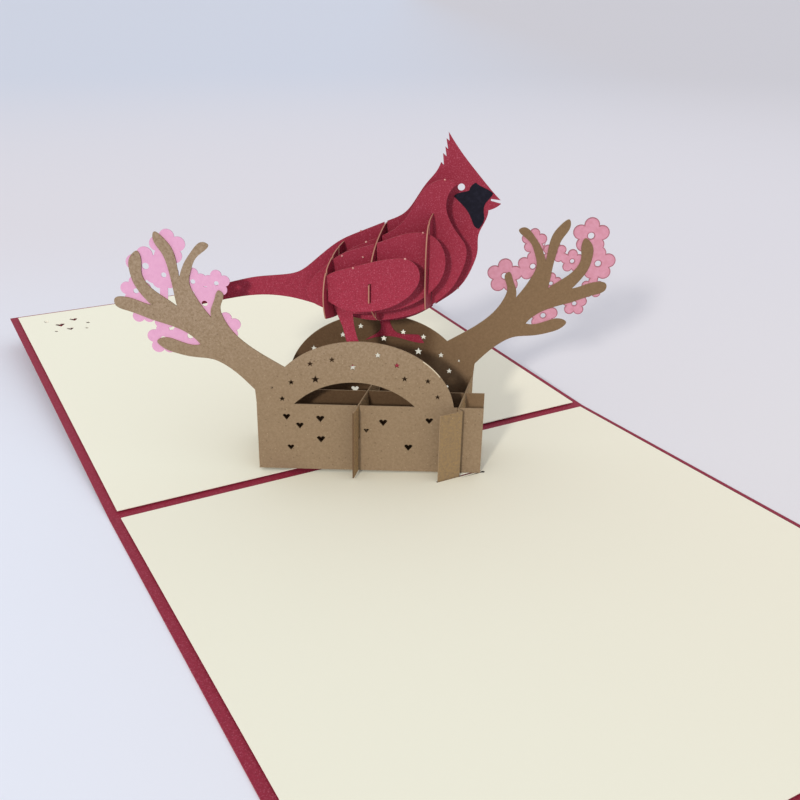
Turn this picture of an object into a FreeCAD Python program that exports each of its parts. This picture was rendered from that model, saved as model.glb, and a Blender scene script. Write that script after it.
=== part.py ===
"""Pop up card: a folded red cover, two cream pages and a die-cut bird on arched branches.

X runs along the fold, Y from the near page to the far page and Z up, in millimetres.
The pop up is a lattice of slotted sheets. Walls run one way across the fold, cross walls
the other way, and each family stays parallel to itself while the card closes.
"""
import FreeCAD
import Part
import math
import os
from FreeCAD import Placement, Rotation, Vector

os.makedirs("parts", exist_ok=True)
doc = FreeCAD.newDocument("PopUpCard")

# Driving sizes, in millimetres and degrees
SIZES = [
    ("card_length", 150.0, "along the fold"),
    ("card_depth", 148.0, "from the fold to the outer edge of each half"),
    ("open_lift", 3.8, "rise of the far half, in degrees, short of lying flat"),
    ("cover_sheet", 0.4, "thickness of the red card"),
    ("tape_sheet", 0.5, "thickness of the tape under the pages"),
    ("tape_width", 6.0, "width of a strip of tape"),
    ("tape_inset", 1.5, "from the edge of the page to the tape"),
    ("page_sheet", 0.25, "thickness of the cream pages"),
    ("page_margin", 2.5, "red border left around each page"),
    ("page_fold_gap", 2.0, "from the fold to each page"),
    ("slit_length", 14.0, "slit in a page, along the fold"),
    ("slit_width", 1.0, "slit in a page, across it"),
    ("wall_sheet", 0.35, "thickness of the brown card"),
    ("slice_sheet", 0.3, "thickness of the bird's red card"),
    ("mask_sheet", 0.12, "thickness of the face mask"),
    ("blossom_sheet", 0.25, "thickness of the pink card"),
    ("box_height", 19.4, "height of the lattice walls"),
    ("wall_span", 53.5, "between the outer cross walls, along a wall"),
    ("cross_span", 21.8, "between the outer walls, along a cross wall"),
    ("wall_angle", 30.0, "between the walls and the fold, in degrees"),
    ("wall_overhang", 6.6, "of an outer wall past its last crossing"),
    ("wall_hover", 0.1, "between the walls and the pages"),
    ("mid_wall_place", -1.0, "of the middle wall, from the middle of the box"),
    ("mid_wall_left", 3.5, "of the middle wall past its left crossing"),
    ("mid_wall_right", 5.3, "of the middle wall past its right crossing"),
    ("mid_cross_overhang", 5.0, "of the middle cross wall past the outer walls"),
    ("lattice_shift", -2.0, "of the lattice along the fold, from the middle of the card"),
    ("flap_width", 6.6, "of the glue flap at the end of a cross wall"),
    ("flap_reach", 0.6, "from the crossing to where the strip bends outwards"),
    ("flap_splay", 1.6, "from that bend straight out to the crease of the flap"),
    ("flap_foot", 2.5, "of the flap's foot under the page"),
    ("flap_play", 0.03, "under the flap's foot"),
    ("slot_play", 0.15, "on each side of a sheet in its slot"),
    ("arch_half", 25.2, "half width of the arch"),
    ("arch_rise", 20.6, "of the arch over its own axis"),
    ("arch_axis", 17.0, "height of the arch's axis"),
    ("arch_place", 0.4, "of the arch's middle, along the wall"),
    ("notch_angle", 141.0, "where the branch leaves the arch, in degrees"),
    ("window_span", 32.2, "width of the window under the arch"),
    ("window_rise", 6.7, "of the window over its sill"),
    ("window_place", -1.0, "of the window's middle, along the wall"),
    ("tail_rib_place", -6.5, "of the rib at the tail, along the bird"),
    ("middle_rib_place", 4.2, "of the middle rib, along the bird"),
    ("breast_rib_place", 17.2, "of the rib at the breast, along the bird"),
    ("tail_rib_level", 53.0, "where the tail rib's slots meet the slices' slots"),
    ("middle_rib_level", 53.0, "where the middle rib's slots meet the slices' slots"),
    ("breast_rib_level", 57.0, "where the breast rib's slots meet the slices' slots"),
    ("tongue_foot", 50.0, "lower edge of the middle rib's tongues"),
    ("tongue_head", 54.6, "upper edge of the middle rib's tongues"),
    ("tongue_reach", 1.0, "of a tongue past the outer slice"),
    ("tongue_setback", 0.7, "from the outer slice to the root of a tongue"),
    ("tongue_shoulder", 2.0, "straight edge of the middle rib above a tongue"),
    ("eye_place", 23.0, "of the eye, along the bird"),
    ("eye_level", 75.6, "height of the eye over the foot of the walls"),
    ("eye_radius", 0.9, "of the punched eye"),
]

# Cuts run past what they cut: through a sheet, in thicknesses of it, and past an edge
CUT_DEPTH = 4
OPEN_END = 1.0
# The stars have five points and the flowers five petals, a fifth of a turn apart
POINTS = 5
FIFTH = 360 / POINTS

sheet = doc.addObject("Spreadsheet::Sheet", "Sizes")


def add_cell(row, alias, value, note):
    sheet.set("A%d" % row, alias)
    sheet.set("B%d" % row, str(value))
    sheet.set("C%d" % row, note)
    sheet.setAlias("B%d" % row, alias)


for row, (alias, value, note) in enumerate(SIZES, start=1):
    add_cell(row, alias, value, note)
doc.recompute()


def size(alias):
    """The value of one cell of the sheet of sizes."""
    return float(getattr(sheet, alias))


def cosine(degrees):
    return math.cos(math.radians(degrees))


def sine(degrees):
    return math.sin(math.radians(degrees))


# How the lattice stands. Both families draw in along the fold by the same length when the
# card closes, which sets the angle of the cross walls from that of the walls.
lean = size("open_lift") / 2
wall_angle = size("wall_angle")
draw_in = size("wall_span") * (1 - cosine(wall_angle))
cross_angle = math.degrees(math.acos(1 - draw_in / size("cross_span")))
crossing = wall_angle + cross_angle
page_top = size("cover_sheet") + size("tape_sheet") + size("page_sheet")
corner_place = (size("wall_span") * cosine(wall_angle) - size("cross_span") * cosine(cross_angle)) / 2
corner_reach = (size("wall_span") * sine(wall_angle) + size("cross_span") * sine(cross_angle)) / 2
crease_place = corner_place - size("flap_reach") * cosine(cross_angle)
crease_reach = corner_reach + size("flap_reach") * sine(cross_angle) + size("flap_splay")
outmost = corner_reach + size("wall_overhang") * sine(wall_angle)
lattice_base = page_top * cosine(lean) + outmost * sine(lean) + size("wall_hover")
foot_reach = crease_reach + size("flap_foot")
foot_level = size("cover_sheet") * cosine(lean) + foot_reach * sine(lean) + size("flap_play")
add_cell(len(SIZES) + 1, "flap_drop", lattice_base - foot_level, "worked out: walls' foot to flap's foot")
doc.recompute()

# The bird's slices stand beside the walls, and the two with legs are glued to the arches
glue_offset = (size("wall_sheet") + size("slice_sheet")) / 2 / sine(crossing)
slice_pitch = (size("cross_span") / 2 - glue_offset) / 2


def on_lattice(along, across, turn):
    """Placement over a point of the lattice, turned about its upright axis."""
    lattice = Placement(Vector(0, 0, 0), Rotation(Vector(1, 0, 0), lean))
    place = Vector(along + size("lattice_shift"), across, lattice_base)
    return lattice.multiply(Placement(place, Rotation(Vector(0, 0, 1), turn)))


def wall_placement(offset, turned=False):
    """Placement of a sheet parallel to the walls, at an offset along the cross walls."""
    turn = 180 - wall_angle if turned else -wall_angle
    return on_lattice(offset * cosine(cross_angle), offset * sine(cross_angle), turn)


def cross_placement(offset):
    """Placement of a sheet parallel to the cross walls, at an offset along the walls."""
    return on_lattice(offset * cosine(wall_angle), -offset * sine(wall_angle), cross_angle)


def new_body(label, placement=Placement()):
    body = doc.addObject("PartDesign::Body", label)
    body.Label = label
    body.Placement = placement
    return body


def new_sketch(body, name, role, offset=Placement()):
    """A sketch on one of the body's own origin planes."""
    sketch = body.newObject("Sketcher::SketchObject", body.Name + "_" + name)
    plane = [part for part in body.Origin.OriginFeatures if part.Role == role][0]
    sketch.AttachmentSupport = [(plane, "")]
    sketch.MapMode = "FlatFace"
    sketch.AttachmentOffset = offset
    return sketch


def pad(body, sketch, thickness, centred=True):
    """Pad a sketch by a cell of the sheet, or by a formula of cells."""
    feature = body.newObject("PartDesign::Pad", sketch.Name + "_pad")
    feature.Profile = sketch
    feature.SideType = "Symmetric" if centred else "One side"
    feature.setExpression("Length", thickness)
    sketch.Visibility = False
    return feature


def pocket(body, sketch, sheet_alias):
    """Cut a sketch right through a sheet, evenly to both sides of the sketch's plane."""
    feature = body.newObject("PartDesign::Pocket", sketch.Name + "_pocket")
    feature.Profile = sketch
    feature.SideType = "Symmetric"
    feature.setExpression("Length", "%d * Sizes.%s" % (CUT_DEPTH, sheet_alias))
    sketch.Visibility = False
    return feature


def draw(sketch, spans):
    """Draw a closed outline: a span of two points is a line, a longer one a smooth curve."""
    for span in spans:
        points = [Vector(x, y, 0) for x, y in span]
        if len(points) == 2:
            sketch.addGeometry(Part.LineSegment(points[0], points[1]))
        else:
            curve = Part.BSplineCurve()
            curve.interpolate(points)
            sketch.addGeometry(curve)


def draw_loop(sketch, points):
    """Draw one smooth closed curve."""
    curve = Part.BSplineCurve()
    curve.interpolate([Vector(x, y, 0) for x, y in points], True)
    sketch.addGeometry(curve)


def draw_polygon(sketch, points):
    draw(sketch, [[points[i - 1], points[i]] for i in range(len(points))])


def draw_rectangle(sketch, left, right, low, high):
    draw_polygon(sketch, [(left, low), (right, low), (right, high), (left, high)])


def draw_circle(sketch, x, y, radius):
    sketch.addGeometry(Part.Circle(Vector(x, y, 0), Vector(0, 0, 1), radius))


def draw_arc(sketch, start, middle, end):
    sketch.addGeometry(Part.Arc(Vector(*start, 0), Vector(*middle, 0), Vector(*end, 0)))


def around(centre, radius, angle):
    return (centre[0] + radius * cosine(angle), centre[1] + radius * sine(angle))


def draw_star(sketch, centre, radius):
    """A five-pointed star."""
    waist = 0.45 * radius
    points = []
    for i in range(POINTS):
        angle = 90 + FIFTH * i
        points.append(around(centre, radius, angle))
        points.append(around(centre, waist, angle + FIFTH / 2))
    draw_polygon(sketch, points)


def draw_heart(sketch, centre, radius):
    x, y = centre
    tip = (x, y - radius)
    cleft = (x, y + 0.35 * radius)
    for side in (-1, 1):
        shoulder = (x + side * radius, y + 0.25 * radius)
        draw(sketch, [[tip, shoulder]])
        draw_arc(sketch, shoulder, (x + side * 0.55 * radius, y + 0.8 * radius), cleft)


def draw_flower(sketch, centre, reach):
    """A flower of five round petals that meet in notches."""
    petal = 0.41 * reach
    stalk = reach - petal
    half = FIFTH / 2
    notch = stalk * cosine(half) + math.sqrt(petal ** 2 - (stalk * sine(half)) ** 2)
    for i in range(POINTS):
        angle = 90 + FIFTH * i
        start = around(centre, notch, angle - half)
        middle = around(centre, reach, angle)
        draw_arc(sketch, start, middle, around(centre, notch, angle + half))


def strip_outline(line, thickness):
    """The outline of a folded strip seen from above: its middle line, thickened both ways."""
    sides = ([], [])
    for i, (x, y) in enumerate(line):
        before = line[i - 1] if i > 0 else None
        after = line[i + 1] if i < len(line) - 1 else None
        normals = []
        for start, end in ((before, (x, y)), ((x, y), after)):
            if start is None or end is None:
                continue
            run = math.hypot(end[0] - start[0], end[1] - start[1])
            normals.append((-(end[1] - start[1]) / run, (end[0] - start[0]) / run))
        nx = sum(n[0] for n in normals) / len(normals)
        ny = sum(n[1] for n in normals) / len(normals)
        mitre = thickness / 2 / (nx * nx + ny * ny)
        sides[0].append((x + nx * mitre, y + ny * mitre))
        sides[1].append((x - nx * mitre, y - ny * mitre))
    return sides[0] + sides[1][::-1]


def slot_width(own_sheet, other_sheet):
    """Width of a slot for a sheet that crosses at the lattice's angle."""
    crossed = (other_sheet + own_sheet * abs(cosine(crossing))) / sine(crossing)
    return crossed + 2 * size("slot_play")


def draw_slots(sketch, places, width, low, high):
    """One rectangle for each slot; the open end of a slot runs past the edge of the sheet."""
    for place in places:
        draw_rectangle(sketch, place - width / 2, place + width / 2, low, high)


# Outlines on the walls and on the bird: along the sheet, then up from the foot of the walls.
# Each span is a smooth run from one corner to the next.
BRANCH = [
    [(-24.2, 33.0), (-28.4, 35.9), (-31.9, 39.2), (-34.3, 43.0), (-34.9, 46.5), (-34.3, 49.9),
     (-35.1, 50.5), (-36.4, 48.2), (-37.4, 45.7), (-37.5, 43.2)],
    [(-37.5, 43.2), (-39.3, 45.7), (-41.2, 48.9), (-42.5, 52.6), (-41.7, 56.0), (-39.7, 59.5),
     (-37.2, 62.4), (-38.2, 62.9), (-41.2, 60.8), (-43.5, 57.4), (-44.9, 53.8)],
    [(-44.9, 53.8), (-45.3, 57.4), (-46.1, 60.9), (-47.9, 63.6), (-50.4, 65.2), (-50.7, 64.0),
     (-48.9, 60.2), (-47.6, 56.4), (-46.8, 51.6), (-46.0, 46.0)],
    [(-46.0, 46.0), (-49.0, 48.3), (-52.4, 51.0), (-54.3, 54.5), (-54.1, 58.4), (-54.9, 60.3),
     (-56.8, 58.8), (-57.3, 55.4), (-56.6, 52.2), (-54.8, 49.0), (-52.5, 46.2)],
    [(-52.5, 46.2), (-56.0, 47.4), (-59.4, 48.3), (-61.8, 47.7), (-61.9, 46.6), (-58.4, 44.5),
     (-52.9, 42.4), (-47.9, 40.8), (-43.9, 38.9), (-40.7, 35.8)],
    [(-40.7, 35.8), (-43.5, 35.7), (-47.6, 37.1), (-50.5, 37.4), (-51.9, 36.5), (-51.0, 35.1),
     (-47.9, 33.5), (-42.6, 32.3), (-37.5, 31.7), (-34.5, 30.2), (-31.0, 27.4), (-27.2, 23.4)],
]
WALL_STARS = [
    (5.1, 33.9, 0.9), (-1.4, 30.4, 1.0), (10.1, 31.2, 0.9), (-12.5, 31.1, 0.9), (-6.8, 32.4, 0.9),
    (-11.2, 26.7, 1.2), (-17.6, 25.7, 0.9), (-22.7, 24.1, 0.5), (-20.1, 20.9, 0.9),
    (12.2, 27.4, 0.9), (18.3, 26.9, 0.9), (21.0, 22.4, 0.8),
]
WALL_HEARTS = [
    (-19.1, 15.7, 1.0), (-15.6, 13.2, 1.0), (-10.1, 15.3, 1.1), (-10.0, 9.2, 1.1),
    (-18.2, 6.6, 0.9), (2.2, 12.1, 0.7), (6.7, 14.6, 1.1), (19.0, 15.4, 1.0), (13.6, 7.3, 1.1),
]
CENTRE_SLICE = [
    [(17.7, 81.7), (18.4, 81.0)], [(18.4, 81.0), (18.1, 83.9)], [(18.1, 83.9), (19.0, 83.1)],
    [(19.0, 83.1), (18.6, 85.5)], [(18.6, 85.5), (19.3, 84.9)], [(19.3, 84.9), (18.8, 87.5)],
    [(18.8, 87.5), (19.6, 86.9)], [(19.6, 86.9), (19.3, 89.1)],
    [(19.3, 89.1), (23.9, 82.7), (27.9, 78.0), (31.3, 74.2), (33.0, 72.5)],
    [(33.0, 72.5), (30.6, 72.8)], [(30.6, 72.8), (30.5, 72.3)], [(30.5, 72.3), (33.2, 71.6)],
    [(33.2, 71.6), (31.9, 70.6), (30.1, 69.9)],
    [(30.1, 69.9), (29.6, 67.5), (28.7, 65.6), (27.9, 63.4), (27.9, 59.5),
     (26.9, 55.4), (25.1, 51.5), (22.8, 48.6), (18.5, 45.3), (14.9, 42.8), (11.3, 41.0),
     (6.0, 39.8), (1.0, 39.8), (-5.5, 41.2), (-12.5, 43.4), (-20.1, 45.5), (-28.8, 46.1),
     (-37.6, 44.7), (-45.0, 42.9)],
    [(-45.0, 42.9), (-44.6, 47.4)],
    [(-44.6, 47.4), (-36.9, 49.2), (-30.0, 50.9), (-22.9, 51.7), (-18.2, 52.8), (-14.8, 55.3),
     (-11.4, 58.3), (-7.4, 61.3), (-2.1, 63.8), (4.8, 66.7), (8.9, 68.8), (11.0, 71.3),
     (14.4, 76.6), (16.3, 78.9), (17.7, 81.7)],
]
INNER_SLICE = [
    [(22.7, 77.3), (20.7, 74.6), (20.3, 72.1), (21.8, 67.5), (23.7, 64.7), (25.4, 62.3),
     (25.9, 59.3), (24.9, 55.4), (23.0, 51.5), (19.2, 47.4), (14.5, 44.2), (9.0, 42.4),
     (3.0, 41.6), (-5.0, 42.9), (-11.0, 44.9), (-14.4, 47.5), (-14.1, 50.9), (-11.0, 54.9),
     (-7.0, 58.2), (-2.0, 61.2), (4.0, 63.9), (8.2, 66.3), (11.0, 69.6), (13.3, 74.0),
     (16.1, 77.2), (19.6, 78.5), (22.7, 77.3)],
]
# The two slices with legs: the body between the roots of the leg, then the front and the back
# of the shin, and the foot that both have
LEG_BODY = [
    (-9.2, 48.6), (-10.3, 52.0), (-9.2, 56.0), (-4.9, 60.2), (4.2, 63.5), (10.2, 65.7),
    (15.1, 66.5), (18.4, 65.5), (20.8, 62.6), (21.6, 59.2), (20.8, 55.1), (18.2, 51.3),
    (14.4, 48.4), (9.0, 46.3),
]
NEAR_SHIN = {
    "front": [(-1.4, 45.1), (-1.3, 43.4), (-0.8, 40.5), (0.1, 37.5), (2.2, 34.4)],
    "back": [(-1.6, 33.6), (-3.0, 37.4), (-4.0, 41.3), (-5.2, 44.4), (-5.9, 46.4)],
}
FAR_SHIN = {
    "front": [(1.6, 45.1), (2.2, 40.6), (3.0, 36.1), (3.8, 33.8)],
    "back": [(0.6, 33.4), (0.2, 36.1), (-1.2, 40.9), (-3.4, 45.6)],
}
TOE_TOP = [(5.3, 32.3), (7.2, 31.9), (9.6, 31.9), (11.3, 31.8)]
TOE = [(11.3, 31.8), (12.1, 30.6), (12.8, 29.4)]
SOLE = [(12.8, 29.4), (11.0, 29.5), (6.6, 30.6), (3.9, 31.2), (1.0, 31.2), (-2.0, 30.5), (-3.6, 30.0)]
HEEL = [(-3.6, 30.0), (-1.6, 31.3)]


def leg_slice(shin):
    """The outline of a slice with a leg."""
    front, back = shin["front"], shin["back"]
    return [back[-1:] + LEG_BODY + front[:1], front + TOE_TOP, TOE, SOLE, HEEL + back]


OUTER_SLICE = [
    (-7.9, 53.2), (-6.4, 56.5), (-1.5, 58.5), (4.1, 60.1), (9.4, 61.2), (13.0, 61.2),
    (15.6, 59.5), (16.4, 56.7), (15.1, 53.3), (11.8, 50.2), (8.0, 48.4), (2.7, 47.5),
    (-1.9, 47.9), (-5.9, 50.0),
]
MASK = [
    [(21.2, 73.3), (22.1, 74.0), (23.5, 74.4), (25.0, 74.8)], [(25.0, 74.8), (25.5, 76.0), (26.6, 76.8)],
    [(26.6, 76.8), (28.4, 75.7), (30.1, 74.9), (31.0, 74.2)],
    [(31.0, 74.2), (30.3, 73.0), (29.2, 71.6), (28.9, 69.6), (29.1, 67.4), (28.6, 66.1), (27.9, 65.1)],
    [(27.9, 65.1), (27.0, 65.5), (26.0, 67.3), (24.5, 70.0), (23.1, 71.5), (21.2, 73.3)],
]
# Slices are counted out from the middle one, both ways
SLICE_OUTLINES = {
    -3: [OUTER_SLICE], -2: leg_slice(NEAR_SHIN), -1: INNER_SLICE, 0: CENTRE_SLICE,
    1: INNER_SLICE, 2: leg_slice(FAR_SHIN), 3: [OUTER_SLICE],
}
OUTER_STEP = max(SLICE_OUTLINES)
# Half outlines of the ribs: out from the middle slice, then up from the foot of the walls
TAIL_RIB = {
    "back": [(0.0, 61.1), (6.0, 60.8), (12.0, 59.5), (16.4, 57.2), (18.5, 52.6), (18.3, 48.9),
             (16.8, 45.7)],
    "belly": [(16.8, 45.7), (9.0, 43.7), (0.0, 42.6)],
}
BREAST_RIB = {
    "back": [(0.0, 70.4), (7.0, 69.9), (11.2, 68.4), (12.8, 64.8), (13.2, 57.7), (12.9, 51.5),
             (11.8, 47.0)],
    "belly": [(11.8, 47.0), (6.0, 46.0), (0.0, 45.6)],
}
MIDDLE_RIB = {
    "back": [(0.0, 66.0), (5.8, 64.8), (11.5, 62.4), (15.4, 58.6)],
    "belly": [(14.6, 47.6), (9.0, 43.2), (0.0, 40.3)],
}
# Flowers of each pink sheet: along the wall, up, and reach of the petals; then which ones
# are joined by a strip behind the branch
NEAR_FLOWERS = [
    (-41.6, 52.6, 3.6), (-35.7, 52.3, 3.5), (-39.0, 46.9, 4.4), (-53.2, 56.4, 5.0),
    (-47.3, 61.4, 4.6), (-56.2, 49.8, 4.0), (-48.8, 54.2, 3.9), (-54.8, 44.9, 3.8),
    (-43.3, 38.0, 4.6), (-50.3, 37.0, 4.2), (-33.9, 40.7, 3.9), (-49.6, 43.2, 3.4),
]
NEAR_JOINS = [(0, 1), (0, 2), (1, 2), (2, 10), (6, 3), (6, 4), (3, 5), (5, 7), (7, 11),
              (11, 6), (2, 8), (8, 9), (11, 9)]
FAR_FLOWERS = [
    (34.1, 49.3, 4.9), (41.5, 52.2, 4.2), (41.4, 59.2, 3.5), (52.0, 53.9, 3.3),
    (56.4, 61.0, 5.0), (59.0, 53.4, 4.8), (53.7, 41.9, 3.5), (45.4, 38.2, 4.1),
    (47.1, 56.4, 3.2), (46.8, 47.5, 3.1), (58.2, 46.6, 3.1),
]
FAR_JOINS = [(0, 1), (1, 2), (1, 8), (8, 3), (3, 5), (4, 5), (5, 10), (10, 6), (9, 6), (9, 7),
             (1, 9)]
FLOWER_EYE = 0.17
JOIN_WIDTH = 2.0

# Small punched shapes in the far left corner of the far page: in from the left edge of the
# page, in from its far edge, radius
CORNER_HEARTS = [(12.5, 13.0, 1.7), (18.0, 9.5, 1.5), (15.0, 18.0, 1.3)]
CORNER_DOTS = [(8.5, 8.0, 0.8), (22.0, 14.5, 0.7), (20.5, 19.5, 0.6), (10.0, 18.5, 0.6)]


def make_cover():
    """The red card, folded once along X; its far half is lifted."""
    lift = size("open_lift")
    depth = size("card_depth")
    thick = size("cover_sheet")
    inner = thick * math.tan(math.radians(lean))
    profile = [
        (-depth, 0), (0, 0), (depth * cosine(lift), depth * sine(lift)),
        (depth * cosine(lift) - thick * sine(lift), depth * sine(lift) + thick * cosine(lift)),
        (-inner, thick), (-depth, thick),
    ]
    body = new_body("cover")
    sketch = new_sketch(body, "profile", "YZ_Plane")
    draw_polygon(sketch, profile)
    pad(body, sketch, "Sizes.card_length")


def half_placement(far_side):
    return Placement(Vector(0, 0, 0), Rotation(Vector(1, 0, 0), size("open_lift") if far_side else 0))


def draw_page_rectangle(sketch, side, inset):
    """The outline of a page, or of the tape under it, on one side of the fold."""
    half = size("card_length") / 2 - size("page_margin") - inset
    near = size("page_fold_gap") + inset
    far = size("card_depth") - size("page_margin") - inset
    draw_rectangle(sketch, -half, half, min(side * near, side * far), max(side * near, side * far))


def make_page(label, side):
    """A cream page with the slit for the flap; the far one has the corner's punched shapes."""
    body = new_body(label, half_placement(side > 0))
    lift = Placement(Vector(0, 0, size("cover_sheet") + size("tape_sheet")), Rotation())
    sketch = new_sketch(body, "outline", "XY_Plane", lift)
    draw_page_rectangle(sketch, side, 0)
    middle = size("lattice_shift") - side * crease_place
    across = side * crease_reach
    half_slit = size("slit_length") / 2
    half_width = size("slit_width") / 2
    draw_rectangle(sketch, middle - half_slit, middle + half_slit, across - half_width, across + half_width)
    if side > 0:
        left = size("page_margin") - size("card_length") / 2
        far = size("card_depth") - size("page_margin")
        for x, y, radius in CORNER_DOTS:
            draw_circle(sketch, left + x, far - y, radius)
        for x, y, radius in CORNER_HEARTS:
            draw_heart(sketch, (left + x, far - y), radius)
    pad(body, sketch, "Sizes.page_sheet", centred=False)


def make_tape(label, side):
    """Tape between the cover and a page, laid as one frame around the page's edge."""
    body = new_body(label, half_placement(side > 0))
    lift = Placement(Vector(0, 0, size("cover_sheet")), Rotation())
    sketch = new_sketch(body, "outline", "XY_Plane", lift)
    draw_page_rectangle(sketch, side, size("tape_inset"))
    draw_page_rectangle(sketch, side, size("tape_inset") + size("tape_width"))
    pad(body, sketch, "Sizes.tape_sheet", centred=False)


def cross_leg_frame(start):
    """Offset that lays a sketch on the leg that is folded back from a wall's end."""
    return Placement(Vector(start, 0, 0), Rotation(Vector(0, 1, 0), crossing))


def make_folded_wall(label, side):
    """An outer wall with its arch and branch; its end is folded back as a cross wall.

    The wall on the far side (side 1) is the near one turned half round.

    The cross wall bends straight out past its crossing and ends in a flap that is creased
    parallel to the fold of the card. The flap goes down through the slit, and its foot lies
    under the page.
    """
    body = new_body(label, wall_placement(side * size("cross_span") / 2, turned=side > 0))
    height = size("box_height")
    thick = size("wall_sheet")
    half_span = size("wall_span") / 2
    play = size("slot_play")

    # The folded strip, seen from above
    wall_end = (half_span + size("wall_overhang"), 0)
    corner = (-half_span, 0)
    away = wall_angle + 90
    bend = around(corner, size("cross_span") + size("flap_reach"), crossing)
    crease = around(bend, size("flap_splay"), away)
    flap_end = around(crease, size("flap_width"), wall_angle)
    strip = new_sketch(body, "strip", "XY_Plane")
    draw_polygon(strip, strip_outline([wall_end, corner, bend, crease, flap_end], thick))
    pad(body, strip, "Sizes.box_height", centred=False)

    # The flap below the strip, and its foot
    below = Placement(Vector(0, 0, -size("flap_drop")), Rotation())
    flap = new_sketch(body, "flap", "XY_Plane", below)
    draw_polygon(flap, strip_outline([crease, flap_end], thick))
    pad(body, flap, "Sizes.flap_drop + Sizes.wall_sheet", centred=False)
    foot = new_sketch(body, "foot", "XY_Plane", below)
    foot_end, foot_corner = [around(point, size("flap_foot"), away) for point in (flap_end, crease)]
    draw_polygon(foot, [crease, flap_end, foot_end, foot_corner])
    pad(body, foot, "Sizes.wall_sheet", centred=False)

    # Arch and branch over the strip
    rise = new_sketch(body, "arch", "XZ_Plane")
    base_angle = math.degrees(math.asin((height - size("arch_axis")) / size("arch_rise")))
    middle = (size("arch_place"), size("arch_axis"))
    ellipse = Part.Ellipse(Vector(*middle, 0), size("arch_half"), size("arch_rise"))
    start, end = math.radians(base_angle), math.radians(size("notch_angle"))
    rise.addGeometry(Part.ArcOfEllipse(ellipse, start, end))
    foot_right = (middle[0] + size("arch_half") * math.cos(start), height)
    notch = (
        middle[0] + size("arch_half") * math.cos(end),
        middle[1] + size("arch_rise") * math.sin(end),
    )
    shoulder = (-half_span - thick / 2, height)
    overlap = height - OPEN_END
    spans = [list(span) for span in BRANCH]
    spans[0].insert(0, notch)
    spans.append([BRANCH[-1][-1], shoulder])
    spans.append([shoulder, (shoulder[0], overlap)])
    spans.append([(shoulder[0], overlap), (foot_right[0], overlap)])
    spans.append([(foot_right[0], overlap), foot_right])
    draw(rise, spans)
    pad(body, rise, "Sizes.wall_sheet")

    # Window: the part of a circle over its sill
    window = new_sketch(body, "window", "XZ_Plane")
    left = (size("window_place") - size("window_span") / 2, height)
    right = (size("window_place") + size("window_span") / 2, height)
    draw_arc(window, right, (size("window_place"), height + size("window_rise")), left)
    draw(window, [[left, right]])
    pocket(body, window, "wall_sheet")

    # Slots, open at the top on the wall and at the bottom on the leg folded back
    width = slot_width(thick, thick)
    slots = new_sketch(body, "wall_slots", "XZ_Plane")
    draw_slots(slots, (0, half_span), width, height / 2 - play, height + OPEN_END)
    pocket(body, slots, "wall_sheet")
    leg_slots = new_sketch(body, "leg_slots", "XZ_Plane", cross_leg_frame(-half_span))
    mid_wall = size("cross_span") / 2 - side * size("mid_wall_place")
    draw_slots(leg_slots, (mid_wall, size("cross_span")), width, -OPEN_END, height / 2 + play)
    pocket(body, leg_slots, "wall_sheet")

    # Punched stars and hearts
    punched = new_sketch(body, "punched", "XZ_Plane")
    for x, z, radius in WALL_STARS:
        draw_star(punched, (x, z), radius)
    for x, z, radius in WALL_HEARTS:
        draw_heart(punched, (x, z), radius)
    pocket(body, punched, "wall_sheet")


def make_mid_wall():
    body = new_body("mid_wall", wall_placement(size("mid_wall_place")))
    height = size("box_height")
    half_span = size("wall_span") / 2
    outline = new_sketch(body, "outline", "XZ_Plane")
    left = -half_span - size("mid_wall_left")
    right = half_span + size("mid_wall_right")
    draw_rectangle(outline, left, right, 0, height)
    pad(body, outline, "Sizes.wall_sheet")
    slots = new_sketch(body, "slots", "XZ_Plane")
    width = slot_width(size("wall_sheet"), size("wall_sheet"))
    draw_slots(slots, (-half_span, 0, half_span), width, height / 2 - size("slot_play"), height + OPEN_END)
    pocket(body, slots, "wall_sheet")


def make_mid_cross_wall():
    body = new_body("mid_cross_wall", cross_placement(0))
    height = size("box_height")
    half_span = size("cross_span") / 2
    end = half_span + size("mid_cross_overhang")
    outline = new_sketch(body, "outline", "XZ_Plane")
    draw_rectangle(outline, -end, end, 0, height)
    pad(body, outline, "Sizes.wall_sheet")
    slots = new_sketch(body, "slots", "XZ_Plane")
    width = slot_width(size("wall_sheet"), size("wall_sheet"))
    places = (-half_span, size("mid_wall_place"), half_span)
    draw_slots(slots, places, width, -OPEN_END, height / 2 + size("slot_play"))
    pocket(body, slots, "wall_sheet")


def make_blossoms(label, flowers, joins, offset):
    """A pink sheet of flowers glued to the far face of a branch."""
    body = new_body(label, wall_placement(offset))
    # The sketch plane faces -Y, so the far face of the wall lies below it
    behind = Placement(Vector(0, 0, -(size("wall_sheet") + size("blossom_sheet")) / 2), Rotation())
    for i, (x, z, reach) in enumerate(flowers):
        sketch = new_sketch(body, "flower%d" % i, "XZ_Plane", behind)
        draw_flower(sketch, (x, z), reach)
        pad(body, sketch, "Sizes.blossom_sheet")
    for first, second in joins:
        line = [flowers[first][:2], flowers[second][:2]]
        sketch = new_sketch(body, "join%d_%d" % (first, second), "XZ_Plane", behind)
        draw_polygon(sketch, strip_outline(line, JOIN_WIDTH))
        pad(body, sketch, "Sizes.blossom_sheet")
    eyes = new_sketch(body, "eyes", "XZ_Plane", behind)
    for x, z, reach in flowers:
        draw_circle(eyes, x, z, FLOWER_EYE * reach)
    pocket(body, eyes, "blossom_sheet")


def levels(spans):
    """Where slots open: past the lowest and the highest point of an outline."""
    heights = [z for span in spans for x, z in span]
    return min(heights) - OPEN_END, max(heights) + OPEN_END


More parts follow.
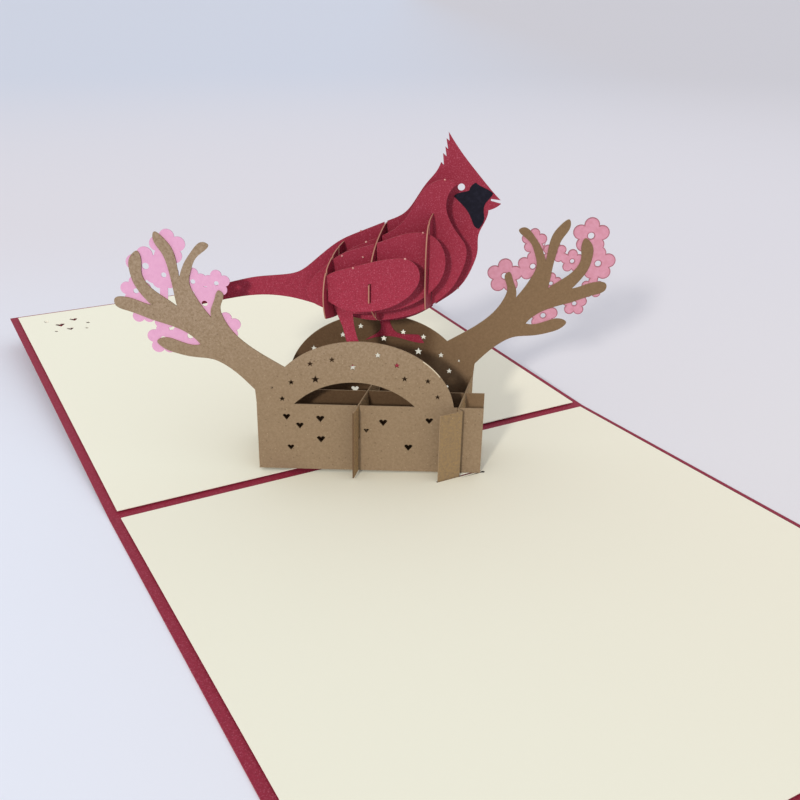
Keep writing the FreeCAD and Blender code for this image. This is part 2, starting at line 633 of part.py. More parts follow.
def slice_slots(body, step, below, above):
    """The slots of one slice: two ribs come from below and the middle one from above."""
    width = slot_width(size("slice_sheet"), size("slice_sheet"))
    play = size("slot_play")
    slots = new_sketch(body, "slots", "XZ_Plane")
    draw_slots(slots, [size("tail_rib_place")], width, below, size("tail_rib_level") + play)
    if abs(step) < OUTER_STEP:
        draw_slots(slots, [size("breast_rib_place")], width, below, size("breast_rib_level") + play)
        draw_slots(slots, [size("middle_rib_place")], width, size("middle_rib_level") - play, above)
    else:
        low, high = size("tongue_foot") - play, size("tongue_head") + play
        draw_slots(slots, [size("middle_rib_place")], width, low, high)
    pocket(body, slots, "slice_sheet")


def make_slice(label, step):
    """One of the bird's seven slices, counted from the middle towards the far page."""
    body = new_body(label, wall_placement(step * slice_pitch))
    outline = new_sketch(body, "outline", "XZ_Plane")
    spans = SLICE_OUTLINES[step]
    if abs(step) == OUTER_STEP:
        draw_loop(outline, spans[0])
    else:
        draw(outline, spans)
    if step == 0:
        draw_circle(outline, size("eye_place"), size("eye_level"), size("eye_radius"))
    pad(body, outline, "Sizes.slice_sheet")
    slice_slots(body, step, *levels(spans))


def mirrored(span):
    return [(-x, z) for x, z in reversed(span)]


def make_rib(label, place, halves, level, steps, from_top, tongues=()):
    """A rib across the slices; its slots open away from the slices' own."""
    body = new_body(label, cross_placement(place))
    outline = new_sketch(body, "outline", "XZ_Plane")
    back = mirrored(halves["back"]) + halves["back"][1:]
    belly = halves["belly"] + mirrored(halves["belly"])[1:]
    draw(outline, [back, belly] + list(tongues))
    pad(body, outline, "Sizes.slice_sheet")
    slots = new_sketch(body, "slots", "XZ_Plane")
    width = slot_width(size("slice_sheet"), size("slice_sheet"))
    places = [step * slice_pitch for step in range(-steps, steps + 1)]
    play = size("slot_play")
    below, above = levels([back, belly])
    if from_top:
        draw_slots(slots, places, width, level - play, above)
    else:
        draw_slots(slots, places, width, below, level + play)
    pocket(body, slots, "slice_sheet")


def tongue_sides():
    """The straight sides of the middle rib, with a tongue through each outer slice."""
    outer = OUTER_STEP * slice_pitch
    tip = outer + size("tongue_reach")
    root = outer - size("tongue_setback")
    low, high = size("tongue_foot"), size("tongue_head")
    shoulder, hip = MIDDLE_RIB["back"][-1], MIDDLE_RIB["belly"][0]
    straight = (root, high + size("tongue_shoulder"))
    path = [shoulder, straight, (root, high), (tip, high), (tip, low), (root, low), hip]
    sides = []
    for side in (1, -1):
        for start, end in zip(path, path[1:]):
            sides.append([(side * start[0], start[1]), (side * end[0], end[1])])
    return sides


def make_mask(label, side):
    """The black face mask glued to one side of the middle slice."""
    body = new_body(label, wall_placement(0))
    offset = side * (size("slice_sheet") + size("mask_sheet")) / 2
    sketch = new_sketch(body, "outline", "XZ_Plane", Placement(Vector(0, 0, offset), Rotation()))
    draw(sketch, MASK)
    pad(body, sketch, "Sizes.mask_sheet")


make_cover()
make_page("near_page", -1)
make_page("far_page", 1)
make_tape("near_tape", -1)
make_tape("far_tape", 1)
make_folded_wall("front_wall", -1)
make_folded_wall("back_wall", 1)
make_mid_wall()
make_mid_cross_wall()
make_blossoms("near_blossoms", NEAR_FLOWERS, NEAR_JOINS, -size("cross_span") / 2)
make_blossoms("far_blossoms", FAR_FLOWERS, FAR_JOINS, size("cross_span") / 2)

SLICE_NAMES = {
    -3: "near_wing_slice", -2: "near_leg_slice", -1: "near_breast_slice", 0: "centre_slice",
    1: "far_breast_slice", 2: "far_leg_slice", 3: "far_wing_slice",
}
for step, label in SLICE_NAMES.items():
    make_slice(label, step)

make_rib("tail_rib", size("tail_rib_place"), TAIL_RIB, size("tail_rib_level"), OUTER_STEP, True)
make_rib("middle_rib", size("middle_rib_place"), MIDDLE_RIB, size("middle_rib_level"),
         OUTER_STEP - 1, False, tongue_sides())
make_rib("breast_rib", size("breast_rib_place"), BREAST_RIB, size("breast_rib_level"),
         OUTER_STEP - 1, True)
make_mask("near_mask", 1)
make_mask("far_mask", -1)

doc.recompute()

bodies = [item for item in doc.Objects if item.TypeId == "PartDesign::Body"]
for item in doc.Objects:
    if "Invalid" in item.State or "Error" in item.State:
        raise RuntimeError("%s did not build" % item.Label)
for body in bodies:
    if body.Shape.isNull() or not body.Shape.isValid():
        raise RuntimeError("%s has no sound shape" % body.Label)
    if len(body.Shape.Solids) != 1:
        raise RuntimeError("%s is %d solids" % (body.Label, len(body.Shape.Solids)))
    body.Shape.exportStep(os.path.join("parts", body.Label + ".step"))
    print(body.Label, round(body.Shape.Volume, 1))
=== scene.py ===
"""Looks of the pop up card: camera, light, and the finish of every sheet of card and paper.

Places are in metres, in the part's own frame: X along the fold, Y from the near half to the
lifted far half, and Z up from the surface that the card lies on.
"""
import math

import bmesh
import bpy
from mathutils import Matrix, Vector


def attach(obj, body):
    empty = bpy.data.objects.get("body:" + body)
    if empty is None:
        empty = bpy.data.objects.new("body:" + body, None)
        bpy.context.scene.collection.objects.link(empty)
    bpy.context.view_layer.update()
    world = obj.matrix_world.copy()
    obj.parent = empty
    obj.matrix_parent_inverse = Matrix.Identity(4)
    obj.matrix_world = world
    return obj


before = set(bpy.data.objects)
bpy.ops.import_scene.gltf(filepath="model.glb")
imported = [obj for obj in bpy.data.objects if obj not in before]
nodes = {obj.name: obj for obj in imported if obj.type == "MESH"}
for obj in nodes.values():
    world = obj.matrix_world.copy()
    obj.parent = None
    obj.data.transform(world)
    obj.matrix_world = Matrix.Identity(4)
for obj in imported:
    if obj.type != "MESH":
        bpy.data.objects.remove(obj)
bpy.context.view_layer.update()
scene = bpy.context.scene
scene.view_settings.view_transform = "Standard"


# The camera looks down along the fold from the near left, with the pop up in the middle.
# Its place was solved from the edges of the card in an image of 800 by 800 pixels.
IMAGE_SIDE = 800
FOCAL_PIXELS = 961.7
SENSOR = 36.0
CLIP_NEAR = 0.01
CLIP_FAR = 200
CAMERA_PLACE = Vector((-0.11294, -0.21882, 0.12324))
CAMERA_YAW = math.radians(28.981)
CAMERA_PITCH = math.radians(23.234)
CAMERA_ROLL = math.radians(0.13)

forward = Vector((math.sin(CAMERA_YAW) * math.cos(CAMERA_PITCH),
                  math.cos(CAMERA_YAW) * math.cos(CAMERA_PITCH), -math.sin(CAMERA_PITCH)))
level = Vector((math.cos(CAMERA_YAW), -math.sin(CAMERA_YAW), 0))
upright = level.cross(forward)
right = math.cos(CAMERA_ROLL) * level + math.sin(CAMERA_ROLL) * upright
above = math.cos(CAMERA_ROLL) * upright - math.sin(CAMERA_ROLL) * level
turned = Matrix((right, above, -forward)).transposed().to_4x4()

lens = bpy.data.cameras.new("camera")
lens.lens = FOCAL_PIXELS / IMAGE_SIDE * SENSOR
lens.sensor_width = SENSOR
lens.clip_start = CLIP_NEAR
lens.clip_end = CLIP_FAR
camera = bpy.data.objects.new("camera", lens)
camera.matrix_world = Matrix.Translation(CAMERA_PLACE) @ turned
scene.collection.objects.link(camera)
scene.camera = camera


# The light: a pale room all round, and one low window to the left of the camera. Together they
# light a level sheet so that its colour renders as it is written.
ROOM_LIGHT = (0.795, 0.805, 0.83)
BACKGROUND = (0.605, 0.62, 0.70)
WINDOW_DIRECTION = Vector((-0.703, -0.62, 0.35))
WINDOW_STRENGTH = 1.85
WINDOW_COLOUR = (1.0, 0.95, 0.86)
WINDOW_ANGLE = math.radians(5)


class Tone:
    """A value in a node tree. Sums, differences and products of tones add its Math nodes."""

    # Where a Mix node that mixes colours has its two colours and its result
    MIX_FIRST, MIX_SECOND, MIX_RESULT = 6, 7, 2

    def __init__(self, tree, link=None):
        self.tree = tree
        self.link = link

    def node(self, kind, settings=None, sockets=None, output=0):
        """Any node: its settings are set first, then its sockets get values or links."""
        made = self.tree.nodes.new(kind)
        for name, value in (settings or {}).items():
            setattr(made, name, value)
        for name, value in (sockets or {}).items():
            socket = made.inputs[name]
            if isinstance(value, Tone):
                self.tree.links.new(value.link, socket)
            elif socket.type == "RGBA":
                socket.default_value = (*value, 1)
            else:
                socket.default_value = value
        return Tone(self.tree, made.outputs[output] if made.outputs else None)

    def output(self, name):
        """Another output of the same node."""
        return Tone(self.tree, self.link.node.outputs[name])

    def math(self, operation, *others):
        sockets = dict(enumerate((self, *others)))
        return self.node("ShaderNodeMath", {"operation": operation}, sockets)

    def __add__(self, other):
        return self.math("ADD", other)

    def __mul__(self, other):
        return self.math("MULTIPLY", other)

    def __sub__(self, other):
        return self.math("SUBTRACT", other)

    def __rsub__(self, other):
        return (self * -1) + other

    __radd__ = __add__
    __rmul__ = __mul__

    def mix(self, first, second):
        """Between two colours, with this tone as the share of the second."""
        sockets = {0: self, self.MIX_FIRST: first, self.MIX_SECOND: second}
        return self.node("ShaderNodeMix", {"data_type": "RGBA"}, sockets, self.MIX_RESULT)

    def steps(self, low, high):
        """0 below low, 1 above high, and smooth between them."""
        return self.node("ShaderNodeMapRange", {"interpolation_type": "SMOOTHSTEP"},
                         {"Value": self, "From Min": low, "From Max": high})


room = bpy.data.worlds.new("room")
room.use_nodes = True
room.node_tree.nodes.clear()
rays = Tone(room.node_tree).node("ShaderNodeLightPath")
shown = rays.output("Is Camera Ray").math("MAXIMUM", rays.output("Is Glossy Ray"))
shown = shown.math("MAXIMUM", rays.output("Is Transmission Ray"))
glow = rays.node("ShaderNodeBackground", None, {"Color": shown.mix(ROOM_LIGHT, BACKGROUND)})
rays.node("ShaderNodeOutputWorld", None, {"Surface": glow})
scene.world = room

window = bpy.data.lights.new("window", "SUN")
window.energy = WINDOW_STRENGTH
window.color = WINDOW_COLOUR
window.angle = WINDOW_ANGLE
sun = bpy.data.objects.new("window", window)
sun.rotation_euler = WINDOW_DIRECTION.to_track_quat("Z", "Y").to_euler()
scene.collection.objects.link(sun)


# The table: one seamless pale sheet under the card. Its colour carries painted light: it is
# bluer near the camera and to the left, and dims a little with the distance from the card.
TABLE_REACH = 60
TABLE_NEAR_LEFT = (0.79, 0.835, 0.945)
TABLE_NEAR_RIGHT = (0.755, 0.735, 0.765)
TABLE_MIDDLE = (0.715, 0.70, 0.755)
TABLE_FAR_LEFT = (0.61, 0.65, 0.755)
TABLE_FAR_RIGHT = (0.60, 0.592, 0.64)
TABLE_AWAY = Vector((0.485, 0.875, 0))
TABLE_ACROSS = Vector((0.875, -0.485, 0))
NEAR_ACROSS = (-0.12, 0.12)
FAR_ACROSS = (-0.15, 0.45)
MIDDLE_AWAY = (-0.15, 0.3)
FAR_DISTANCE = (0.3, 1.45)
TABLE_ROUGHNESS = 0.9
TABLE_TOOTH = (300, 3.0, 0.02, 0.0001)


def new_material(name):
    """An empty material, and a tone to build its tree from."""
    material = bpy.data.materials.new(name)
    material.use_nodes = True
    material.node_tree.nodes.clear()
    return material, Tone(material.node_tree)


def place_of(tone):
    """Where a point is, in the card's own frame."""
    return tone.node("ShaderNodeTexCoord", output="Object")


def along(tone, vector, direction):
    """How far a vector reaches along a direction."""
    return tone.node("ShaderNodeVectorMath", {"operation": "DOT_PRODUCT"},
                     {0: vector, 1: direction}, "Value")


def grain(tone, scale, detail=3.0, roughness=0.6):
    """Fine noise, from 0 to 1."""
    return tone.node("ShaderNodeTexNoise", None, {
        "Vector": place_of(tone), "Scale": scale, "Detail": detail, "Roughness": roughness})


def finish_material(tone, colour, roughness, tooth=None, gloss=0.5):
    """The shader and the output. The tooth of a sheet is its fine relief, given as the scale,
    the detail, the strength and the depth of its noise."""
    sockets = {"Base Color": colour, "Roughness": roughness, "Specular IOR Level": gloss}
    if tooth is not None:
        scale, detail, strength, depth = tooth
        sockets["Normal"] = tone.node("ShaderNodeBump", None, {
            "Height": grain(tone, scale, detail), "Strength": strength, "Distance": depth})
    shader = tone.node("ShaderNodeBsdfPrincipled", None, sockets)
    tone.node("ShaderNodeOutputMaterial", None, {"Surface": shader})


material, tone = new_material("table")
away = along(tone, place_of(tone), TABLE_AWAY)
across = along(tone, place_of(tone), TABLE_ACROSS)
distance = tone.node("ShaderNodeVectorMath", {"operation": "LENGTH"}, {0: place_of(tone)}, "Value")
near_tone = across.steps(*NEAR_ACROSS).mix(TABLE_NEAR_LEFT, TABLE_NEAR_RIGHT)
far_tone = across.steps(*FAR_ACROSS).mix(TABLE_FAR_LEFT, TABLE_FAR_RIGHT)
round_card = away.steps(*MIDDLE_AWAY).mix(near_tone, TABLE_MIDDLE)
finish_material(tone, distance.steps(*FAR_DISTANCE).mix(round_card, far_tone),
                TABLE_ROUGHNESS, TABLE_TOOTH)
bpy.ops.mesh.primitive_plane_add(size=2 * TABLE_REACH)
table = bpy.context.object
table.name = "table"
table.data.materials.append(material)


# The cover: one sheet of red card with a pearl shimmer, folded once, that carries the pages.
# It is dyed through, so its cut edges are only a little paler and browner than its faces. Its
# far half stands a little off the table.
FAR_LIFT = math.radians(3.8)
RED = (0.295, 0.0195, 0.047)
RED_DEEP = (0.235, 0.0145, 0.035)
# Painted glints: the bright pink that the glitter shows where it catches the light
RED_PAINTED_GLINT = (0.62, 0.17, 0.25)
RED_EDGE = (0.30, 0.05, 0.06)
RED_ROUGHNESS = 0.6
RED_TOOTH = (3500, 3.0, 0.12, 0.0002)
RED_GLOSS = 0.22
BROAD_FACE = (0.90, 0.97)

# Scale, detail and roughness of the clouds of a pattern, and scale, share and radius of specks
SHIMMER = (1900, 5.0, 0.75)
SHIMMER_STEPS = (0.32, 0.68)
GLINTS = (3600, 2.0)
GLINT_STEPS = (0.52, 0.74)
GLINT_SHARE = 0.34
SPARKS = (3900, 0.10, 0.34)
SPARK_SHARE = 0.25
SPARK_POLISH = 0.2
SPECK_CORE = 0.6
SPECK_CHOICE = 0.01

page_face = Vector((0, 0, 1))
far_page_face = Vector((0, -math.sin(FAR_LIFT), math.cos(FAR_LIFT)))


def part_of(tone, vector, axis):
    """One coordinate of a vector."""
    return tone.node("ShaderNodeSeparateXYZ", None, {"Vector": vector}, axis)


def greatest(tones):
    """The largest of some tones."""
    found = tones[0]
    for tone in tones[1:]:
        found = found.math("MAXIMUM", tone)
    return found


def facing(tone, *directions):
    """1 on the broad faces of a sheet that face one of the directions, 0 on its cut edges."""
    normal = tone.node("ShaderNodeNewGeometry", output="Normal")
    turns = [along(tone, normal, direction).math("ABSOLUTE") for direction in directions]
    return greatest(turns).steps(*BROAD_FACE)


def specks(tone, scale, share, radius):
    """Sparse round specks: a share of the cells of a cell pattern holds one each."""
    cells = tone.node("ShaderNodeTexVoronoi", None, {"Vector": place_of(tone), "Scale": scale})
    number = part_of(tone, cells.output("Color"), "X")
    chosen = number.steps(1 - share, 1 - share + SPECK_CHOICE)
    return chosen * (1 - cells.steps(radius * SPECK_CORE, radius))


def red_card(name, directions, edge=RED_EDGE, shade_heights=None):
    """Red card with a fine shimmer and painted glints; heights of painted shade, if given, darken
    it.
    """
    material, tone = new_material(name)
    body = grain(tone, *SHIMMER).steps(*SHIMMER_STEPS).mix(RED_DEEP, RED)
    # Painted shade: the card darkens upwards between the given heights
    if shade_heights is not None:
        body = part_of(tone, place_of(tone), "Z").steps(*shade_heights).mix(body, RED_DEEP)
    # Painted highlights: glints and sparks of the glitter are mixed into the colour, and are also
    # smoother
    glints = grain(tone, *GLINTS).steps(*GLINT_STEPS) * GLINT_SHARE
    painted_glints = glints + specks(tone, *SPARKS) * SPARK_SHARE
    colour = facing(tone, *directions).mix(edge, painted_glints.mix(body, RED_PAINTED_GLINT))
    finish_material(tone, colour, RED_ROUGHNESS - painted_glints * SPARK_POLISH, RED_TOOTH, RED_GLOSS)
    return material


def dress(material, *names):
    """Put a material on some of the solids."""
    for name in names:
        piece = nodes[name]
        piece.data.materials.clear()
        piece.data.materials.append(material)


dress(red_card("cover_card", (page_face, far_page_face)), "cover")


# The pages: two sheets of smooth uncoated cream paper with a whiter core, one fixed to each half
# of the cover. Each has a slit that a flap of the lattice goes through.
CREAM = (0.845, 0.835, 0.70)
CREAM_WARM = (0.84, 0.805, 0.67)
WARM_TO_RIGHT = (-0.07, 0.09)
CLOUDS = (14, 2.0)
CLOUD_SHARE = 0.2
PAGE_CORE = (0.90, 0.87, 0.76)
PAGE_ROUGHNESS = 0.78
PAGE_TOOTH = (1800, 3.0, 0.10, 0.0001)
PAGE_GLOSS = 0.25
PAGE_RUB = 1500
RUB_SHARE = 0.03

material, tone = new_material("page_paper")
clouds = grain(tone, *CLOUDS) * CLOUD_SHARE - CLOUD_SHARE / 2
warmth = part_of(tone, place_of(tone), "X").steps(*WARM_TO_RIGHT) + clouds
colour = facing(tone, page_face, far_page_face).mix(PAGE_CORE, warmth.mix(CREAM, CREAM_WARM))
rubbed = PAGE_ROUGHNESS + grain(tone, PAGE_RUB) * RUB_SHARE
finish_material(tone, colour, rubbed, PAGE_TOOTH, PAGE_GLOSS)
dress(material, "near_page", "far_page")


# The cut past the near page's slit: the knife ran on at its right end, and left a fine line
# that widens to a round nick. It is made as a flat dark mark just over the page: painted
# shadow for the gap under the paper that the cut opens on.
CUT_START = 0.0135
CUT_WIDTH = 0.00042
NICK_PLACE = (0.02066, -0.02463, 0.00118)
NICK_RADIUS = 0.0005
NICK_SIDES = 20
NICK_SHADE = (0.03, 0.02, 0.018)
NICK_SHADE_PALE = (0.06, 0.04, 0.034)
NICK_GRAIN = 2500
NICK_ROUGHNESS = 0.9
DULL_GLOSS = 0.1


def add_piece(name, shape, material):
    """A small piece of its own that moves with the card."""
    mesh = bpy.data.meshes.new(name)
    shape.to_mesh(mesh)
    shape.free()
    piece = bpy.data.objects.new(name, mesh)
    scene.collection.objects.link(piece)
    mesh.materials.append(material)
    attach(piece, "root")


nick_shadow = bmesh.new()
bmesh.ops.create_circle(nick_shadow, cap_ends=True, segments=NICK_SIDES, radius=NICK_RADIUS,
                        matrix=Matrix.Translation(NICK_PLACE))
x, y, z = NICK_PLACE
corners = ((CUT_START, y, z), (x, y - CUT_WIDTH / 2, z), (x, y + CUT_WIDTH / 2, z))
nick_shadow.faces.new([nick_shadow.verts.new(corner) for corner in corners])
material, tone = new_material("nick_shadow")
# Painted shadow: the dark of the gap under the paper, a little uneven
colour = grain(tone, NICK_GRAIN).mix(NICK_SHADE, NICK_SHADE_PALE)
finish_material(tone, colour, NICK_ROUGHNESS, gloss=DULL_GLOSS)
add_piece("slit_nick_shadow", nick_shadow, material)


# The tape: a frame of white double-sided tape under each page, which holds it a little above
# the cover. It is hidden, and stands in for whatever is there.
TAPE = (0.78, 0.77, 0.73)
TAPE_GRAIN = 400
TAPE_ROUGHNESS = 0.6

material, tone = new_material("tape")
finish_material(tone, grain(tone, TAPE_GRAIN).mix(TAPE, PAGE_CORE), TAPE_ROUGHNESS)
dress(material, "near_tape", "far_tape")


# The lattice: four sheets of brown kraft card, cut out, folded and slotted into each other.
# The outer side is greyer and flecked, and the side that faces into the box is plainer and
# more yellow. Painted light makes the outer side's flaps and cross faces lighter and yellower,
# and its walls lighter higher up; painted shade darkens the inner side inside the box. The
# flaps of the front and back walls go down through the slits.
WALL_TURN = math.radians(30)
CROSS_TURN = math.radians(47.84)
KRAFT = (0.262, 0.187, 0.118)
# Painted light: the walls' outer side higher up
KRAFT_HIGH_LIT = (0.325, 0.242, 0.172)
KRAFT_DARK = (0.21, 0.145, 0.087)
KRAFT_FLECK = (0.10, 0.066, 0.04)
KRAFT_STRAW = (0.42, 0.33, 0.21)
# Painted light: the outer faces of the flaps, then of the cross walls
KRAFT_FLAP_LIT = (0.29, 0.192, 0.09)
KRAFT_CROSS_LIT = (0.42, 0.265, 0.12)
KRAFT_BACK = (0.205, 0.13, 0.072)
KRAFT_BACK_DARK = (0.165, 0.103, 0.055)
# Painted shade: the inner side inside the box, then its darker fibres
KRAFT_INSIDE_SHADE = (0.125, 0.074, 0.038)
KRAFT_INSIDE_SHADE_DARK = (0.10, 0.056, 0.028)
KRAFT_EDGE = (0.30, 0.21, 0.125)
BRANCH_HEIGHTS = (0.022, 0.052)
INSIDE_TOP = (0.034, 0.048)
INSIDE_END = (0.0165, 0.0205)
FIBRES = (1500, 6.0, 0.75)
FIBRE_STEPS = (0.3, 0.7)
FLECKS = (1300, 0.10, 0.32)
FLECK_SHARE = 0.5
STRAWS = (1700, 0.08, 0.30)
STRAW_SHARE = 0.4
OUTER_SIDE = (0.5, 0.6)
KRAFT_ROUGHNESS = 0.82
KRAFT_TOOTH = (2200, 4.0, 0.18, 0.00015)
KRAFT_GLOSS = 0.2

# The walls run across the fold one way and the cross walls the other way, all leaning half as
# far as the far half does
lean = Matrix.Rotation(FAR_LIFT / 2, 3, "X")
wall_face = lean @ Vector((math.sin(WALL_TURN), math.cos(WALL_TURN), 0))
cross_face = lean @ Vector((math.sin(CROSS_TURN), -math.cos(CROSS_TURN), 0))
flap_face = Vector((0, 1, 0))


def side_of(tone, *directions):
    """1 on the side of a sheet that looks along one of the directions, 0 on its other side."""
    normal = tone.node("ShaderNodeNewGeometry", output="Normal")
    turns = [along(tone, normal, direction) for direction in directions]
    return greatest(turns).steps(*OUTER_SIDE)


def kraft_card(name, *outward):
    """Kraft card whose outer sides look outward; inside the box it is darker with painted shade.
    """
    material, tone = new_material(name)
    height = part_of(tone, place_of(tone), "Z")
    fibres = grain(tone, *FIBRES).steps(*FIBRE_STEPS)

    # Painted light: on the outer side, the faces of flaps and cross walls are lighter and yellower
    lit_sides = facing(tone, cross_face).mix(KRAFT_FLAP_LIT, KRAFT_CROSS_LIT)
    # Painted light: the walls' outer side is lighter and greyer higher up
    lit_higher = height.steps(*BRANCH_HEIGHTS).mix(KRAFT, KRAFT_HIGH_LIT)
    outer = fibres.mix(KRAFT_DARK, facing(tone, wall_face).mix(lit_sides, lit_higher))
    outer = (specks(tone, *FLECKS) * FLECK_SHARE).mix(outer, KRAFT_FLECK)
    outer = (specks(tone, *STRAWS) * STRAW_SHARE).mix(outer, KRAFT_STRAW)

    # Painted shade: the inner side is darker inside the box, below its top and short of its right
    # end
    past_end = part_of(tone, place_of(tone), "X").steps(*INSIDE_END)
    unshaded = height.steps(*INSIDE_TOP).math("MAXIMUM", past_end)
    inner = fibres.mix(unshaded.mix(KRAFT_INSIDE_SHADE_DARK, KRAFT_BACK_DARK),
                       unshaded.mix(KRAFT_INSIDE_SHADE, KRAFT_BACK))

    faces = side_of(tone, *outward).mix(inner, outer)
    colour = facing(tone, wall_face, cross_face, flap_face).mix(KRAFT_EDGE, faces)
    finish_material(tone, colour, KRAFT_ROUGHNESS, KRAFT_TOOTH, KRAFT_GLOSS)
    return material


dress(kraft_card("front_kraft", -wall_face, -cross_face), "front_wall")
dress(kraft_card("back_kraft", wall_face, cross_face), "back_wall")
dress(kraft_card("middle_kraft", wall_face, cross_face), "mid_wall", "mid_cross_wall")


# The sliver on the front arch: a thin pale strip along the arch's edge. Its line is a part of
# the arch's own ellipse, laid on the front wall.
WALL_OFFSET = -0.0109
LATTICE_SHIFT = -0.002
LATTICE_BASE = 0.00207
SHEET_HALF = 0.000175
ARCH_MIDDLE = 0.0004
ARCH_FOOT = 0.017
ARCH_HALF = 0.0252
ARCH_RISE = 0.0206
SLIVER_START = math.radians(33)
SLIVER_TURN = math.radians(16)
SLIVER_STEPS = 16
SLIVER_WIDTH = 0.00026
SLIVER_LIFT = 0.00002
SLIVER_PALE = (0.62, 0.55, 0.43)
SLIVER_DULL = (0.50, 0.42, 0.31)
SLIVER_GRAIN = 2000
SLIVER_ROUGHNESS = 0.85

sliver = bmesh.new()
ends = [sliver.verts.new((reach, 0, 0)) for reach in (1, 1 - SLIVER_WIDTH / ARCH_HALF)]
edge = sliver.edges.new(ends)
bmesh.ops.rotate(sliver, verts=ends, matrix=Matrix.Rotation(-SLIVER_START, 3, "Y"))
bmesh.ops.spin(sliver, geom=ends + [edge], axis=(0, -1, 0), angle=SLIVER_TURN, steps=SLIVER_STEPS)
bmesh.ops.scale(sliver, verts=sliver.verts, vec=(ARCH_HALF, 1, ARCH_RISE))
wall_place = Matrix.Translation((WALL_OFFSET * math.cos(CROSS_TURN) + LATTICE_SHIFT,
                                 WALL_OFFSET * math.sin(CROSS_TURN), LATTICE_BASE))
on_sheet = Matrix.Translation((ARCH_MIDDLE, -SHEET_HALF - SLIVER_LIFT, ARCH_FOOT))
sliver.transform(lean.to_4x4() @ wall_place @ Matrix.Rotation(-WALL_TURN, 4, "Z") @ on_sheet)
sliver.normal_update()
backward = [face for face in sliver.faces if face.normal.dot(wall_face) > 0]
bmesh.ops.reverse_faces(sliver, faces=backward)
material, tone = new_material("pale_edge_strip")
colour = grain(tone, SLIVER_GRAIN).mix(SLIVER_PALE, SLIVER_DULL)
finish_material(tone, colour, SLIVER_ROUGHNESS, gloss=DULL_GLOSS)
add_piece("arch_sliver", sliver, material)


# The near blossoms: one sheet of clean pink card, cut out as flowers and glued to the back of
# the front wall's branch. Its cut edges are a little deeper in colour.
PINK = (0.635, 0.335, 0.50)
PINK_DEEP = (0.605, 0.31, 0.475)
PINK_EDGE = (0.56, 0.27, 0.42)
PINK_GRAIN = 800
PINK_STEPS = (0.3, 0.7)
PINK_ROUGHNESS = 0.8
PINK_TOOTH = (2600, 3.0, 0.1, 0.0001)
PINK_GLOSS = 0.15


def pink_card(name, colour, deep, edge):
    """Matt pink card with faint clouds; edge is the colour of its cut edges."""
    material, tone = new_material(name)
    body = grain(tone, PINK_GRAIN).steps(*PINK_STEPS).mix(deep, colour)
    body = facing(tone, wall_face).mix(edge, body)
    finish_material(tone, body, PINK_ROUGHNESS, PINK_TOOTH, PINK_GLOSS)
    return material


dress(pink_card("near_pink", PINK, PINK_DEEP, PINK_EDGE), "near_blossoms")


# The far blossoms: the same kind of sheet on the back wall's branch. It is seen from its duller
# side, and the cutting has darkened its edges.
ROSE = (0.56, 0.265, 0.355)
ROSE_DEEP = (0.51, 0.225, 0.30)
ROSE_EDGE = (0.20, 0.06, 0.065)

dress(pink_card("far_pink", ROSE, ROSE_DEEP, ROSE_EDGE), "far_blossoms")


# The rim of the far blossoms: the thin dark line that the cutting left along every outline.
# It is the outermost strip of the sheet's face towards the near half, a hair above the card.
RIM_WIDTH = 0.00027
RIM_LIFT = 0.00002
RIM_GRAIN = 900
SAME_CORNER = 1e-6
SAME_PLANE = math.radians(1)

sheet = nodes["far_blossoms"]
rim = bmesh.new()
rim.from_mesh(sheet.data)
rim.transform(sheet.matrix_world)
bmesh.ops.remove_doubles(rim, verts=rim.verts, dist=SAME_CORNER)
rim.normal_update()
hidden = [face for face in rim.faces if face.normal.dot(-wall_face) < BROAD_FACE[0]]
bmesh.ops.delete(rim, geom=hidden, context="FACES")
bmesh.ops.dissolve_limit(rim, angle_limit=SAME_PLANE, verts=rim.verts, edges=rim.edges)
bmesh.ops.triangulate(rim, faces=rim.faces)
inner = rim.faces[:]
bmesh.ops.inset_region(rim, faces=inner, thickness=RIM_WIDTH, use_boundary=True,
                       use_even_offset=True)
bmesh.ops.delete(rim, geom=inner, context="FACES")
bmesh.ops.translate(rim, verts=rim.verts, vec=-wall_face * RIM_LIFT)
material, tone = new_material("rim")
colour = grain(tone, RIM_GRAIN).mix(ROSE_EDGE, ROSE_DEEP)
finish_material(tone, colour, PINK_ROUGHNESS, gloss=DULL_GLOSS)
add_piece("far_blossom_rim", rim, material)


# The bird's slices: seven sheets of the same red card as the cover, cut to the bird's sections.
# They stand side by side along the walls and are slotted onto the ribs. Painted shade darkens
# them upwards.
SLICES = ("near_wing_slice", "near_leg_slice", "near_breast_slice", "centre_slice",
          "far_breast_slice", "far_leg_slice", "far_wing_slice")
SHADE_HEIGHTS = (0.052, 0.072)

dress(red_card("slice_card", (wall_face,), RED_EDGE, SHADE_HEIGHTS), *SLICES)


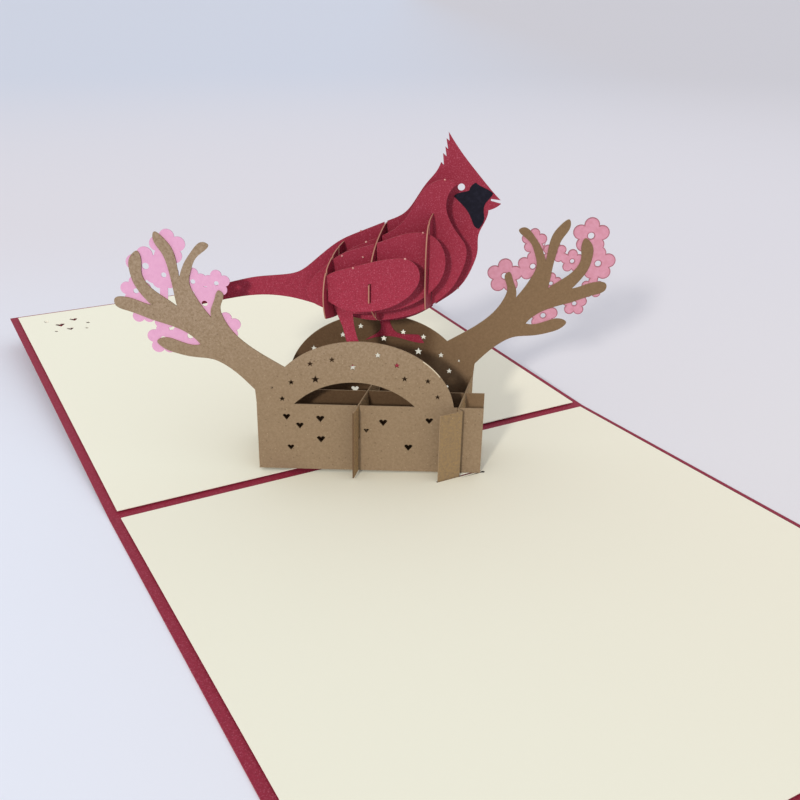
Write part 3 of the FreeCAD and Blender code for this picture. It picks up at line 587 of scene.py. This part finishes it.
# The bird's ribs: three more sheets of that card, slotted across the slices. Their cut edges
# show a paler, browner core.
RIBS = ("tail_rib", "middle_rib", "breast_rib")
RED_CORE = (0.36, 0.165, 0.115)

# Like the slices, they darken upwards with painted shade
dress(red_card("rib_card", (cross_face,), RED_CORE, SHADE_HEIGHTS), *RIBS)


# The nubs: small torn bits of the red card on the edges of the slices. They are left where the
# slices were held in their sheet until they were pressed out.
NUB_PLACES = [
    (0.0115, -0.01659, 0.07995), (-0.00386, -0.00107, 0.06584), (-0.0051, -0.00627, 0.06426),
    (-0.01269, -0.00799, 0.0620), (-0.00818, -0.01059, 0.06178), (-0.01263, -0.01394, 0.06038),
    (0.00457, -0.01809, 0.06793), (-0.00164, -0.02022, 0.0627), (0.0181, -0.01347, 0.05084),
]
NUB_RADIUS = 0.00028
NUB_ROUNDS = 2
NUB_PALE = (0.62, 0.36, 0.33)
NUB_RED = (0.42, 0.10, 0.11)
NUB_GRAIN = 3000
NUB_STEPS = (0.4, 0.6)
NUB_ROUGHNESS = 0.8

nubs = bmesh.new()
for place in NUB_PLACES:
    bmesh.ops.create_icosphere(nubs, subdivisions=NUB_ROUNDS, radius=NUB_RADIUS,
                               matrix=Matrix.Translation(place))
material, tone = new_material("torn_card")
colour = grain(tone, NUB_GRAIN).steps(*NUB_STEPS).mix(NUB_PALE, NUB_RED)
finish_material(tone, colour, NUB_ROUGHNESS, gloss=DULL_GLOSS)
add_piece("slice_nubs", nubs, material)


# The face mask: two small pieces of thin navy black paper, glued to both sides of the middle
# slice round the bird's eye.
MASK = (0.0075, 0.0072, 0.014)
MASK_WORN = (0.013, 0.0125, 0.023)
MASK_GRAIN = 900
MASK_STEPS = (0.4, 0.8)
MASK_ROUGHNESS = 0.7
MASK_TOOTH = (2600, 3.0, 0.15, 0.0001)

material, tone = new_material("mask_paper")
colour = grain(tone, MASK_GRAIN).steps(*MASK_STEPS).mix(MASK, MASK_WORN)
finish_material(tone, colour, MASK_ROUGHNESS, MASK_TOOTH, DULL_GLOSS)
dress(material, "near_mask", "far_mask")
